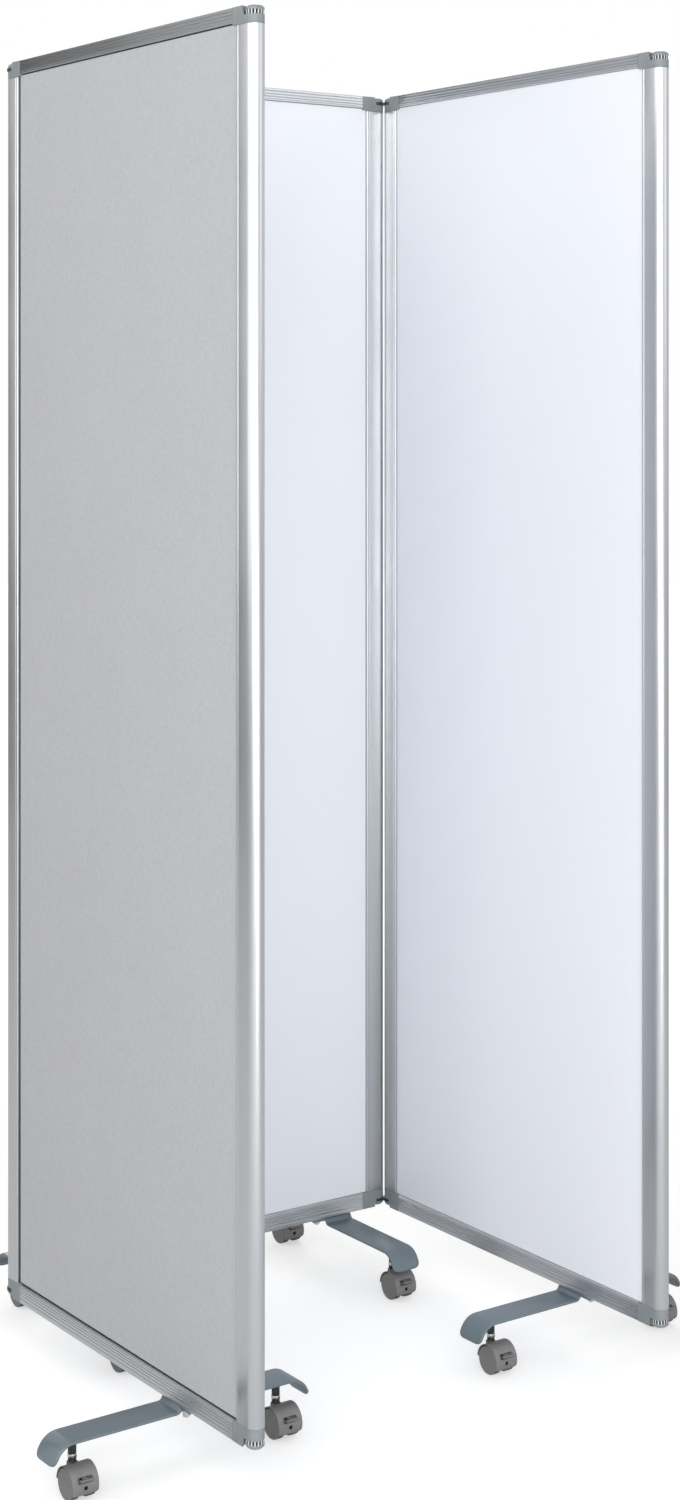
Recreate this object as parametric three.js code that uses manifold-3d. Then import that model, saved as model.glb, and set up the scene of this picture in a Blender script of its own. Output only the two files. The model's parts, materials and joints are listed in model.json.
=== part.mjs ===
// Folding ward screen: three framed boards in a U, on four bent feet with twin-wheel brake casters.
// Millimetres, +Z up. The middle section lies along X with its white side facing -Y.
import * as THREE from 'three';
import { mergeVertices } from 'three/addons/utils/BufferGeometryUtils.js';
import Module from 'manifold-3d';

const wasm = await Module();
wasm.setup();

// Driving dimensions of the whole screen
const SECTION_WIDTH = 610;
const OVERALL_HEIGHT = 1725;
const FLOOR_GAP = 77;
const FRAME_DEPTH = 22;
const CORNER_ANGLE = 90;
const GAP = 0.3;

// Frame extrusions
const NOSE_RADIUS = FRAME_DEPTH / 2;
const AXIS_X = SECTION_WIDTH / 2 - NOSE_RADIUS;
const STILE_FLAT = 18.5;
const LIP_WIDTH = 5;
const WALL = 1.8;
const CHANNEL_DEPTH = 7;
const TOP_RAIL_HEIGHT = 18;
const BOTTOM_RAIL_HEIGHT = 24.2;
const RAIL_GROOVE_WIDTH = 0.9;
const RAIL_GROOVE_DEPTH = 0.7;
const EDGE_CHAMFER = 0.6;
const BEAD_EDGE = 0.7;
const TOP_GROOVES = [4.6, 9.2, 13.8];
const BOTTOM_GROOVES = [6.5, 11.2, 15.6, 20];
const STILE_INNER_X = -(STILE_FLAT + LIP_WIDTH);
const CHANNEL_FLOOR_X = STILE_INNER_X + CHANNEL_DEPTH;

// Laminated board
const CORE_THICKNESS = 13;
const FACING_THICKNESS = 1.5;
const FACING_MARGIN = 2.5;
const CHANNEL_HALF = CORE_THICKNESS / 2 + GAP;

// Corner caps, measured from the outer end of the frame inwards
const CAP_LENGTH = 42;
const CAP_HEIGHT_TOP = 21.5;
const CAP_HEIGHT_BOTTOM = 24.2;
const PLUG_LENGTH = 14;
const BOSS_RECESS = 1;
const BOSS_CHAMFER = 2.5;
const BAND_START = 6.5;
const BAND_END = 11.3;
const DISC_RADIUS = 10.8;
const NECK_RADIUS = 10.4;
const TOOTH_ROOT_RADIUS = 8.6;
const TOOTH_COUNT = 22;
const TOOTH_WIDTH = 1.5;
const NOTCH_RADIUS = 14.2;
const NOTCH_DEPTH = 6.1;
const BAND_CLEAR_RADIUS = 12.9;

// Pivot links
const LINK_SPAN = 24.6;
const LINK_RING_RADIUS = 12.4;
const LINK_WAIST = 6;
const LINK_TURN = CORNER_ANGLE / 2;

// Feet
const FOOT_WIDTH = 45;
const FOOT_THICKNESS = 3.5;
const FOOT_RISE = 8;
const SADDLE_HALF = 5.5;
const SADDLE_SLOPE = 5;
const STEM_REACH = 142;
const BEND_START = 151;
const BEND_RADIUS = 26;
const BEND_ANGLE = 62;
const TOE_LENGTH = 11.5;
const TOE_CORNER = 9;
const EAR_LENGTH = 22;
const EAR_DEPTH = 19;
const WING_FOOT_INSET = 184;
const MIDDLE_FOOT_INSET = 84;

// Casters, measured from the floor and from the wheel axle
const WHEEL_RADIUS = 18.5;
const AXLE_OFFSET = 13.5;
const AXLE_RADIUS = 3;
const WEB_HALF = 5.2;
const WHEEL_INNER = WEB_HALF + 0.4;
const WHEEL_OUTER = 16.8;
const ROUNDING = 1.8;
const HOOD_HALF = 17.2;
const HOOD_RADIUS = 20.6;
const HOOD_INNER_RADIUS = 19.4;
const HOOD_REAR_ANGLE = -4;
const HOOD_FRONT_ANGLE = 207;
const STEM_RADIUS = 5;
const PIN_RADIUS = 3;
const PIN_TIP = 22;
const COLLAR_RADIUS = 6.6;
const COLLAR_BASE = 5;
const COLLAR_TOP = 37.2;
const LEVER_HALF = 9;
const TONGUE_HALF = 3;
const TRUNNION_RADIUS = 1.3;
const LEVER_PIVOT = [-11, 9.3];
const LEVER_THICKNESS = 2;
const LEVER_ROOT = 20.9;
const LEVER_REACH = 26.8;
const MOUTH_BELOW = 4.3;
const MOUTH_ABOVE = 2.1;
const MOUTH_DEPTH = 4;
const LOCK_HALF = 2.2;
const LOCK_LOW = -3.6;
const LOCK_HIGH = 1;
const LOCK_DEPTH = 6;

const COLOURS = {
  anodised: { color: 0xb4b7ba, roughness: 0.32, metalness: 0.85 },
  cap: { color: 0x878c8f, roughness: 0.55, metalness: 0 },
  board: { color: 0xe6eaee, roughness: 0.25, metalness: 0 },
  link: { color: 0x303236, roughness: 0.5, metalness: 0 },
  foot: { color: 0x76808a, roughness: 0.42, metalness: 0.1 },
  hood: { color: 0x77777a, roughness: 0.5, metalness: 0 },
  wheel: { color: 0x626264, roughness: 0.6, metalness: 0 },
  lever: { color: 0x7d7d80, roughness: 0.5, metalness: 0 },
};

const ROUND_STEPS = 20;
const radians = THREE.MathUtils.degToRad;

// A closed geometry as a solid whose faces point out, with its repeated vertices merged
function toSolid(geometry) {
  const bare = geometry.clone();
  bare.deleteAttribute('normal');
  bare.deleteAttribute('uv');
  const merged = mergeVertices(bare, 1e-4);
  const points = merged.attributes.position;
  const corner = (k) => new THREE.Vector3().fromBufferAttribute(points, k);
  const faces = [];
  let volume = 0;
  for (let k = 0; k < merged.index.count; k += 3) {
    const [a, b, c] = [0, 1, 2].map((n) => merged.index.getX(k + n));
    if (a === b || b === c || c === a) continue;
    faces.push([a, b, c]);
    volume += corner(a).dot(corner(b).cross(corner(c)));
  }
  const triangles = faces.flatMap(([a, b, c]) => (volume > 0 ? [a, b, c] : [a, c, b]));
  return new wasm.Manifold(new wasm.Mesh({
    numProp: 3,
    vertProperties: Float32Array.from(points.array),
    triVerts: Uint32Array.from(triangles),
  }));
}

function toGeometry(solid) {
  const mesh = solid.getMesh();
  const geometry = new THREE.BufferGeometry();
  const points = Float32Array.from(mesh.vertProperties);
  geometry.setAttribute('position', new THREE.BufferAttribute(points, 3));
  geometry.setIndex(new THREE.BufferAttribute(Uint32Array.from(mesh.triVerts), 1));
  geometry.computeVertexNormals();
  return geometry;
}

const addAll = (solids) => solids.reduce((whole, next) => whole.add(next));

function makeMesh(name, geometry, finish) {
  const mesh = new THREE.Mesh(geometry, new THREE.MeshStandardMaterial(COLOURS[finish]));
  mesh.name = name;
  return mesh;
}

function outline(points) {
  return new THREE.Shape(points.map(([x, y]) => new THREE.Vector2(x, y)));
}

// Points of an arc from one angle to another, in degrees
function arc(cx, cy, radius, from, to, steps) {
  return Array.from({ length: steps + 1 }, (unused, k) => {
    const angle = radians(from + ((to - from) * k) / steps);
    return [cx + radius * Math.cos(angle), cy + radius * Math.sin(angle)];
  });
}

// A box between two corners
function box(low, high) {
  const size = high.map((v, k) => v - low[k]);
  const geometry = new THREE.BoxGeometry(...size);
  geometry.translate(...high.map((v, k) => (v + low[k]) / 2));
  return toSolid(geometry);
}

// A cylinder along Z between two heights
function cylinder(radius, low, high, steps = ROUND_STEPS) {
  const geometry = new THREE.CylinderGeometry(radius, radius, high - low, steps);
  geometry.rotateX(Math.PI / 2);
  geometry.translate(0, 0, (high + low) / 2);
  return toSolid(geometry);
}

// An outline drawn in X and Y, raised between two heights
function prism(shape, low, high, bevel = 0) {
  const geometry = new THREE.ExtrudeGeometry(shape, {
    depth: high - low - 2 * bevel,
    bevelEnabled: bevel > 0,
    bevelThickness: bevel,
    bevelSize: bevel,
    bevelOffset: -bevel,
    bevelSegments: 1,
    curveSegments: 12,
  });
  geometry.translate(0, 0, low + bevel);
  return geometry;
}

// An outline drawn in Y and Z, drawn out along X
function runAlongX(shape, low, high) {
  const geometry = prism(shape, low, high);
  geometry.applyMatrix4(new THREE.Matrix4().makeBasis(
    new THREE.Vector3(0, 1, 0), new THREE.Vector3(0, 0, 1), new THREE.Vector3(1, 0, 0)));
  return geometry;
}

// An outline drawn in X and Z, drawn out across Y about the middle
function runAcrossY(shape, depth, bevel = 0) {
  const geometry = prism(shape, -depth / 2, depth / 2, bevel);
  geometry.rotateX(Math.PI / 2);
  return geometry;
}

// One face of a rail from its outer edge to its lip, with fine grooves running along it
function railFace(height, grooveHeights) {
  const face = [[NOSE_RADIUS - EDGE_CHAMFER, 0], [NOSE_RADIUS, EDGE_CHAMFER]];
  for (const z of grooveHeights) {
    face.push([NOSE_RADIUS, z - RAIL_GROOVE_WIDTH / 2]);
    face.push([NOSE_RADIUS - RAIL_GROOVE_DEPTH, z]);
    face.push([NOSE_RADIUS, z + RAIL_GROOVE_WIDTH / 2]);
  }
  face.push([NOSE_RADIUS, height - EDGE_CHAMFER], [NOSE_RADIUS - EDGE_CHAMFER, height]);
  face.push([CHANNEL_HALF, height], [CHANNEL_HALF, height - CHANNEL_DEPTH]);
  return face;
}

// Hollow rail with an open channel for the board; its outer edge is at z = 0 and its lip at z = height
function railGeometry(height, grooveHeights) {
  const face = railFace(height, grooveHeights);
  const mirrored = face.map(([y, z]) => [-y, z]).reverse();
  const shape = outline([...face, ...mirrored]);
  const inner = NOSE_RADIUS - WALL;
  const ceiling = height - CHANNEL_DEPTH - WALL;
  shape.holes.push(outline([[-inner, WALL], [-inner, ceiling], [inner, ceiling], [inner, WALL]]));
  const half = SECTION_WIDTH / 2 - CAP_LENGTH - GAP;
  return toGeometry(toSolid(runAlongX(shape, -half, half)));
}

// Stile section about the boss axis, with its half-round nose towards +X and its lip towards -X
function stileGeometry() {
  const bead = [
    [-STILE_FLAT, NOSE_RADIUS],
    [-STILE_FLAT - BEAD_EDGE / 2, NOSE_RADIUS - BEAD_EDGE],
    [-STILE_FLAT - 1.5 * BEAD_EDGE, NOSE_RADIUS],
    [STILE_INNER_X + BEAD_EDGE, NOSE_RADIUS],
    [STILE_INNER_X, NOSE_RADIUS - BEAD_EDGE],
    [STILE_INNER_X, CHANNEL_HALF],
    [CHANNEL_FLOOR_X, CHANNEL_HALF],
  ];
  const mirrored = bead.map(([x, y]) => [x, -y]).reverse();
  const shape = outline([...arc(0, 0, NOSE_RADIUS, -90, 90, 10), ...bead, ...mirrored]);
  const inner = NOSE_RADIUS - WALL;
  const wall = CHANNEL_FLOOR_X + WALL;
  shape.holes.push(outline([...arc(0, 0, inner, -90, 90, 5), [wall, inner], [wall, -inner]]));
  const low = FLOOR_GAP + CAP_HEIGHT_BOTTOM + GAP;
  const high = OVERALL_HEIGHT - CAP_HEIGHT_TOP - GAP;
  return toGeometry(toSolid(prism(shape, low, high)));
}

// Core that runs into the frame's channels
function boardCore(grow) {
  const x = GAP - CHANNEL_FLOOR_X;
  const low = FLOOR_GAP + BOTTOM_RAIL_HEIGHT - CHANNEL_DEPTH + GAP;
  const high = OVERALL_HEIGHT - TOP_RAIL_HEIGHT + CHANNEL_DEPTH - GAP;
  const y = CORE_THICKNESS / 2;
  return box([-AXIS_X + x - grow, -y - grow, low - grow], [AXIS_X - x + grow, y + grow, high + grow]);
}

// Board with its two facings set back from the lips, which leaves a shadow groove all round
function boardGeometry() {
  const x = AXIS_X + STILE_INNER_X - FACING_MARGIN;
  const y = CORE_THICKNESS / 2 + FACING_THICKNESS;
  const low = FLOOR_GAP + BOTTOM_RAIL_HEIGHT + FACING_MARGIN;
  const high = OVERALL_HEIGHT - TOP_RAIL_HEIGHT - FACING_MARGIN;
  return toGeometry(boardCore(0).add(box([-x, -y, low], [x, y, high])));
}

// Round boss of a corner cap, from its chamfered disc at the outer end to its base
function bossSolid(height, toothed) {
  const neck = toothed ? TOOTH_ROOT_RADIUS : NECK_RADIUS;
  const profile = [
    [0, BOSS_RECESS], [DISC_RADIUS - BOSS_CHAMFER, BOSS_RECESS], [DISC_RADIUS, BOSS_RECESS + BOSS_CHAMFER],
    [DISC_RADIUS, BAND_START], [neck, BAND_START], [neck, BAND_END], [NOSE_RADIUS, BAND_END],
    [NOSE_RADIUS, height], [0, height],
  ];
  const geometry = new THREE.LatheGeometry(profile.map(([r, z]) => new THREE.Vector2(r, z)), 16);
  geometry.rotateX(Math.PI / 2);
  geometry.rotateZ(Math.PI / 2);
  const boss = toSolid(geometry);
  if (!toothed) return boss;
  const teeth = Array.from({ length: TOOTH_COUNT }, (unused, k) => box(
    [TOOTH_ROOT_RADIUS - 0.6, -TOOTH_WIDTH / 2, BAND_START - 0.2],
    [NECK_RADIUS, TOOTH_WIDTH / 2, BAND_END + 0.2]).rotate([0, 0, (360 / TOOTH_COUNT) * (k + 0.5)]));
  return addAll([boss, ...teeth]);
}

// Corner cap about the boss axis, with the frame's outer end at z = 0 and the board towards -X
function capGeometry({ height, railHeight, toothed }) {
  const inboard = -(CAP_LENGTH - NOSE_RADIUS);
  const step = STILE_INNER_X - GAP;
  const shelf = Math.min(height, railHeight + FACING_MARGIN - GAP);
  const overlap = 0.6;
  const upperStep = shelf < height ? [[step, height], [step, shelf]] : [];
  const side = outline([[inboard, 0], [overlap, 0], [overlap, height], ...upperStep, [inboard, shelf]]);
  const block = toSolid(runAcrossY(side, FRAME_DEPTH, EDGE_CHAMFER));
  const notch = cylinder(NOTCH_RADIUS, -1, NOTCH_DEPTH, 16);
  const band = cylinder(BAND_CLEAR_RADIUS + 0.2, -1, BAND_END, 16);
  const plugY = NOSE_RADIUS - WALL - GAP;
  const railPlug = box(
    [inboard - PLUG_LENGTH, -plugY, WALL + GAP],
    [inboard + 1, plugY, railHeight - CHANNEL_DEPTH - WALL - GAP]);
  const plugWall = CHANNEL_FLOOR_X + WALL + GAP;
  const stileSection = outline([...arc(0, 0, plugY, -90, 90, 5), [plugWall, plugY], [plugWall, -plugY]]);
  const stilePlug = toSolid(prism(stileSection, height - 1, height + PLUG_LENGTH));
  const cleared = block.subtract(notch).subtract(band);
  const body = addAll([cleared, bossSolid(height, toothed), railPlug, stilePlug]);
  const boardEdge = box(
    [inboard - PLUG_LENGTH - 1, -CHANNEL_HALF, railHeight - CHANNEL_DEPTH],
    [CHANNEL_FLOOR_X, CHANNEL_HALF, railHeight + PLUG_LENGTH]);
  return toGeometry(body.subtract(boardEdge));
}

// Figure-8 link whose two rings run round the necks of neighbouring bosses
function linkGeometry() {
  const low = BAND_START + GAP;
  const high = BAND_END - GAP;
  const at = (solid, x) => solid.translate([x, 0, 0]);
  const ring = cylinder(LINK_RING_RADIUS + 0.1, low, high, 16);
  const hole = cylinder(NECK_RADIUS + GAP + 0.2, low - 1, high + 1, 16);
  const waist = box([0, -LINK_WAIST, low], [LINK_SPAN, LINK_WAIST, high]);
  const body = addAll([ring, at(ring, LINK_SPAN), waist]);
  return toGeometry(body.subtract(hole).subtract(at(hole, LINK_SPAN)));
}

// Side view of one half of the bent bar's top surface, from the middle to the toe
function footCurve() {
  const armTop = FLOOR_GAP - FOOT_RISE;
  const saddleTop = FLOOR_GAP - GAP;
  const curve = [[0, saddleTop], [SADDLE_HALF, saddleTop], [SADDLE_HALF + SADDLE_SLOPE, armTop]];
  curve.push(...arc(BEND_START, armTop - BEND_RADIUS, BEND_RADIUS, 90, 90 - BEND_ANGLE, 5));
  const [x, z] = curve[curve.length - 1];
  const angle = radians(BEND_ANGLE);
  curve.push([x + TOE_LENGTH * Math.cos(angle), z - TOE_LENGTH * Math.sin(angle)]);
  return curve;
}

// The same curve moved in by the bar's thickness, with mitred corners
function insetCurve(curve, distance) {
  const normals = curve.slice(1).map(([x, z], k) => {
    const [bx, bz] = curve[k];
    const length = Math.hypot(x - bx, z - bz);
    return [(z - bz) / length, (bx - x) / length];
  });
  return curve.map(([x, z], k) => {
    const [ax, az] = normals[Math.max(k - 1, 0)];
    const [bx, bz] = normals[Math.min(k, normals.length - 1)];
    const reach = distance / (1 + ax * bx + az * bz);
    return [x + reach * (ax + bx), z + reach * (az + bz)];
  });
}

// Bent flat bar with a raised saddle, a bolting ear on one side and the two caster stems
function footGeometry(earSide) {
  const top = footCurve();
  const under = insetCurve(top, FOOT_THICKNESS).reverse();
  const half = [...top, ...under];
  const mirrored = [...top, ...under].map(([x, z]) => [-x, z]).reverse();
  const slab = (points) => toSolid(runAcrossY(outline(points), FOOT_WIDTH));
  const reach = Math.max(...half.map(([x]) => x));
  const [w, r] = [FOOT_WIDTH / 2, TOE_CORNER];
  const plan = outline([
    ...arc(reach - r, w - r, r, 0, 90, 3), ...arc(r - reach, w - r, r, 90, 180, 3),
    ...arc(r - reach, r - w, r, 180, 270, 3), ...arc(reach - r, r - w, r, 270, 360, 3),
  ]);
  const bar = addAll([slab(half), slab(mirrored)]).intersect(toSolid(prism(plan, 0, FLOOR_GAP)));
  const earLow = FLOOR_GAP - GAP - FOOT_THICKNESS;
  const earEnds = [w - 1, w + EAR_LENGTH].map((y) => y * earSide);
  const ear = box(
    [-EAR_DEPTH / 2, Math.min(...earEnds), earLow],
    [EAR_DEPTH / 2, Math.max(...earEnds), FLOOR_GAP - GAP]);
  const underside = FLOOR_GAP - FOOT_RISE - FOOT_THICKNESS;
  const pin = cylinder(PIN_RADIUS, PIN_TIP, COLLAR_TOP + 1, 6);
  const stem = cylinder(STEM_RADIUS, COLLAR_TOP + GAP, underside + 1, 10).add(pin);
  const stems = [-STEM_REACH, STEM_REACH].map((x) => stem.translate([x, 0, 0]));
  return toGeometry(addAll([bar, ear, ...stems]));
}

// Point in the caster's side view, in degrees from the rear round over the top
function hoodArc(radius, from, to, steps) {
  return arc(0, 0, radius, from, to, steps);
}

// Hood with its centre web, seen from the side about the axle: rear towards +Y, brake towards -Y
function hoodGeometry() {
  const webRadius = (HOOD_RADIUS + HOOD_INNER_RADIUS) / 2;
  const shell = outline([
    ...hoodArc(HOOD_RADIUS, HOOD_REAR_ANGLE, HOOD_FRONT_ANGLE, 13),
    ...hoodArc(HOOD_INNER_RADIUS, HOOD_FRONT_ANGLE, HOOD_REAR_ANGLE, 8),
  ]);
  const web = outline([
    ...hoodArc(webRadius, HOOD_REAR_ANGLE + 2, HOOD_FRONT_ANGLE - 2, 8),
    ...arc(0, -2, 8, 215, 335, 4),
  ]);
  web.holes.push(outline(arc(0, 0, AXLE_RADIUS + 0.6, 0, 315, 7)));
  const [pivotY, pivotZ] = LEVER_PIVOT;
  const pocket = box(
    [-TONGUE_HALF - 0.4, 0.4 - HOOD_INNER_RADIUS, pivotZ - 5.2],
    [TONGUE_HALF + 0.4, pivotY + 2.8, pivotZ + 2.4]);
  const trunnionBore = toSolid(runAlongX(
    outline(arc(pivotY, pivotZ, TRUNNION_RADIUS + 0.5, 0, 300, 5)), -WEB_HALF - 1, WEB_HALF + 1));
  const mouthBox = box(
    [-LEVER_HALF - 0.5, -HOOD_RADIUS - 1, pivotZ - MOUTH_BELOW],
    [LEVER_HALF + 0.5, MOUTH_DEPTH - HOOD_RADIUS, pivotZ + MOUTH_ABOVE]);
  const frontHalf = outline(hoodArc(HOOD_RADIUS + 3, 90, 270, 10));
  const mouth = mouthBox.intersect(toSolid(runAlongX(frontHalf, -HOOD_HALF, HOOD_HALF)));
  const lockHole = box(
    [-LOCK_HALF, -HOOD_RADIUS - 1, LOCK_LOW],
    [LOCK_HALF, LOCK_DEPTH - HOOD_RADIUS, LOCK_HIGH]);
  const shellCore = outline(arc(0, 0, webRadius, 0, 180, 8));
  const collar = cylinder(COLLAR_RADIUS, COLLAR_BASE, COLLAR_TOP - WHEEL_RADIUS, 12)
    .translate([0, AXLE_OFFSET, 0])
    .subtract(toSolid(runAlongX(shellCore, -HOOD_HALF, HOOD_HALF)));
  const bore = cylinder(PIN_RADIUS + 0.5, PIN_TIP - WHEEL_RADIUS - 0.5, COLLAR_TOP, 8)
    .add(cylinder(STEM_RADIUS + 0.6, COLLAR_TOP - WHEEL_RADIUS, HOOD_RADIUS + 1, 12))
    .translate([0, AXLE_OFFSET, 0]);
  const cover = toSolid(runAlongX(shell, -HOOD_HALF, HOOD_HALF));
  const body = addAll([cover, toSolid(runAlongX(web, -WEB_HALF, WEB_HALF)), collar]);
  const cuts = [pocket, mouth, trunnionBore, lockHole, bore];
  return toGeometry(cuts.reduce((left, cut) => left.subtract(cut), body));
}

// Two wheels on one axle along X, about the axle
function wheelGeometry() {
  const half = [
    [AXLE_RADIUS, WHEEL_INNER], [WHEEL_RADIUS, WHEEL_INNER], [WHEEL_RADIUS, WHEEL_OUTER - ROUNDING],
    [WHEEL_RADIUS - ROUNDING, WHEEL_OUTER], [0, WHEEL_OUTER],
  ];
  const profile = [...half.map(([r, x]) => [r, -x]).reverse(), ...half];
  const geometry = new THREE.LatheGeometry(profile.map(([r, x]) => new THREE.Vector2(r, x)), 16);
  geometry.rotateZ(-Math.PI / 2);
  return toGeometry(toSolid(geometry));
}

// Brake lever about the axle: a wide ledge in front of the hood, and a tongue that runs in to its pivot
function leverGeometry() {
  const [y, z] = LEVER_PIVOT;
  const t = LEVER_THICKNESS / 2;
  const tongue = outline([
    ...arc(y, z, 2.2, -60, 60, 4),
    [y - 2, z + t],
    [-LEVER_ROOT - 1, z + t],
    [-LEVER_ROOT - 1, z - t],
    [y - 2, z - t],
  ]);
  const ledge = outline([
    [-LEVER_ROOT, z - t - 0.8],
    [-LEVER_ROOT, z + t],
    [-LEVER_REACH + 2, z + t + 0.4],
    [-LEVER_REACH, z + t + 1.2],
    [-LEVER_REACH - 0.6, z + t + 0.4],
    [-LEVER_REACH + 1.4, z - t],
  ]);
  const trunnion = outline(arc(y, z, TRUNNION_RADIUS, 0, 300, 5));
  return toGeometry(addAll([
    toSolid(runAlongX(tongue, -TONGUE_HALF, TONGUE_HALF)),
    toSolid(runAlongX(ledge, -LEVER_HALF, LEVER_HALF)),
    toSolid(runAlongX(trunnion, GAP - WEB_HALF, WEB_HALF - GAP)),
  ]));
}

const SHARED = {
  topRail: railGeometry(TOP_RAIL_HEIGHT, TOP_GROOVES),
  bottomRail: railGeometry(BOTTOM_RAIL_HEIGHT, BOTTOM_GROOVES),
  stile: stileGeometry(),
  board: boardGeometry(),
  link: linkGeometry(),
  hood: hoodGeometry(),
  wheels: wheelGeometry(),
  lever: leverGeometry(),
};
for (const toothed of [true, false]) {
  const top = { height: CAP_HEIGHT_TOP, railHeight: TOP_RAIL_HEIGHT, toothed };
  const bottom = { height: CAP_HEIGHT_BOTTOM, railHeight: BOTTOM_RAIL_HEIGHT, toothed };
  SHARED[`topCap${toothed}`] = capGeometry(top);
  SHARED[`bottomCap${toothed}`] = capGeometry(bottom);
}

// One framed section about its middle; freeSide is -1 or 1 at an end with no neighbour, or 0
function makeSection(name, freeSide) {
  const section = new THREE.Group();
  const add = (part, geometry, finish) => {
    const mesh = makeMesh(`${name}_${part}`, geometry, finish);
    section.add(mesh);
    return mesh;
  };
  add('board', SHARED.board, 'board');
  add('bottom_rail', SHARED.bottomRail, 'anodised').position.z = FLOOR_GAP;
  const topRail = add('top_rail', SHARED.topRail, 'anodised');
  topRail.position.z = OVERALL_HEIGHT;
  topRail.rotation.x = Math.PI;
  for (const [side, word] of [[-1, 'left'], [1, 'right']]) {
    const turn = side > 0 ? 0 : Math.PI;
    const toothed = side === freeSide;
    const stile = add(`${word}_stile`, SHARED.stile, 'anodised');
    stile.position.x = side * AXIS_X;
    stile.rotation.z = turn;
    const low = add(`${word}_bottom_cap`, SHARED[`bottomCap${toothed}`], 'cap');
    low.position.set(side * AXIS_X, 0, FLOOR_GAP);
    low.rotation.z = turn;
    const high = add(`${word}_top_cap`, SHARED[`topCap${toothed}`], 'cap');
    high.position.set(side * AXIS_X, 0, OVERALL_HEIGHT);
    high.rotation.set(Math.PI, 0, turn);
  }
  return section;
}

// Top and bottom links of one joint, from the middle section's boss axis outwards
function makeLinks(name) {
  const links = new THREE.Group();
  const low = makeMesh(`${name}_link_bottom`, SHARED.link, 'link');
  low.position.z = FLOOR_GAP;
  const high = makeMesh(`${name}_link_top`, SHARED.link, 'link');
  high.position.z = OVERALL_HEIGHT;
  high.rotation.x = Math.PI;
  links.add(low, high);
  return links;
}

// Caster about its stem axis on the floor, with its brake facing -Y
function makeCaster(name) {
  const caster = new THREE.Group();
  const pieces = [
    ['hood', SHARED.hood, 'hood'],
    ['wheels', SHARED.wheels, 'wheel'],
    ['brake_lever', SHARED.lever, 'lever'],
  ];
  for (const [part, geometry, finish] of pieces) {
    const mesh = makeMesh(`${name}_${part}`, geometry, finish);
    mesh.position.set(0, -AXLE_OFFSET, WHEEL_RADIUS);
    caster.add(mesh);
  }
  return caster;
}

const screen = new THREE.Group();
const foldIn = radians(LINK_TURN);

// The middle section stays square to the frame; each wing hangs on its link at the corner angle
const middle = makeSection('middle', 0);
const wings = {};
for (const [side, word] of [[-1, 'left'], [1, 'right']]) {
  const links = makeLinks(word);
  links.position.x = side * AXIS_X;
  links.rotation.z = side > 0 ? -foldIn : Math.PI + foldIn;
  const wing = makeSection(`${word}_wing`, side);
  const corner = radians(CORNER_ANGLE);
  wing.rotation.z = -side * corner;
  wing.position.set(
    side * (AXIS_X + LINK_SPAN * Math.cos(foldIn) + AXIS_X * Math.cos(corner)),
    -LINK_SPAN * Math.sin(foldIn) - AXIS_X * Math.sin(corner), 0);
  wings[word] = wing;
  screen.add(links, wing);
}
screen.add(middle);

// Feet cross under the rails; each one's ear points away from the nearer joint
const FOOT_PLACES = [
  { name: 'left_wing', section: wings.left, x: WING_FOOT_INSET - SECTION_WIDTH / 2, ear: -1 },
  { name: 'middle_left', section: middle, x: MIDDLE_FOOT_INSET - SECTION_WIDTH / 2, ear: 1 },
  { name: 'middle_right', section: middle, x: SECTION_WIDTH / 2 - MIDDLE_FOOT_INSET, ear: -1 },
  { name: 'right_wing', section: wings.right, x: SECTION_WIDTH / 2 - WING_FOOT_INSET, ear: 1 },
];
for (const { name, section, x, ear } of FOOT_PLACES) {
  const foot = makeMesh(`${name}_foot`, footGeometry(-ear), 'foot');
  foot.rotation.z = Math.PI / 2;
  foot.position.x = x;
  section.add(foot);
  section.updateMatrixWorld(true);
  for (const [end, word] of [[-1, 'front'], [1, 'back']]) {
    const caster = makeCaster(`${name}_${word}`);
    caster.position.copy(section.localToWorld(new THREE.Vector3(x, end * STEM_REACH, 0)));
    screen.add(caster);
  }
}

// The frame's origin is the middle of the footprint, on the floor
const bounds = new THREE.Box3().setFromObject(screen);
const centre = bounds.getCenter(new THREE.Vector3());
screen.position.set(-centre.x, -centre.y, 0);
screen.updateMatrixWorld(true);

export default screen;
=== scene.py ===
import json
from math import asin, atan2, cos, degrees, hypot, pi, radians, sin, sqrt

import bmesh
import bpy
from bpy.props import FloatProperty, FloatVectorProperty, IntProperty, PointerProperty
from bpy.types import Operator, Panel, PropertyGroup
from mathutils import Matrix, Vector


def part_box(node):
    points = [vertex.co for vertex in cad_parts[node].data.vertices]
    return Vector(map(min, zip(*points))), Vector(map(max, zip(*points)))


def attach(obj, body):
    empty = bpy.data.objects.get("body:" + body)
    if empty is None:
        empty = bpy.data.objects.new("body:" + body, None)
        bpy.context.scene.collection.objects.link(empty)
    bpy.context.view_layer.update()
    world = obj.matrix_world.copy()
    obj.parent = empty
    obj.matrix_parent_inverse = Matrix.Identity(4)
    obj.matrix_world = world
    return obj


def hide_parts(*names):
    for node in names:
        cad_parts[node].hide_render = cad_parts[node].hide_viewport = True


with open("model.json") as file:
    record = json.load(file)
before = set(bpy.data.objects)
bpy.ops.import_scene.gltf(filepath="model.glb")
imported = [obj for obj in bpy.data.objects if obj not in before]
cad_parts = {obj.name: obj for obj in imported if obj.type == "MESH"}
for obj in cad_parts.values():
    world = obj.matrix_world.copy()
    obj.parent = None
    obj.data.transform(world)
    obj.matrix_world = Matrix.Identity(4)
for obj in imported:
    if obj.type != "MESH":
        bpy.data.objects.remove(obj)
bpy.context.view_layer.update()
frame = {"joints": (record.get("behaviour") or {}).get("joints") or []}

bl_info = {
    "name": "Folding Ward Screen",
    "version": (1, 0, 0),
    "blender": (4, 5, 0),
    "location": "View3D > Sidebar > Ward Screen",
    "description": "Builds a three-section folding screen on braked casters over its measured frame",
    "category": "Add Mesh",
}

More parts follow.
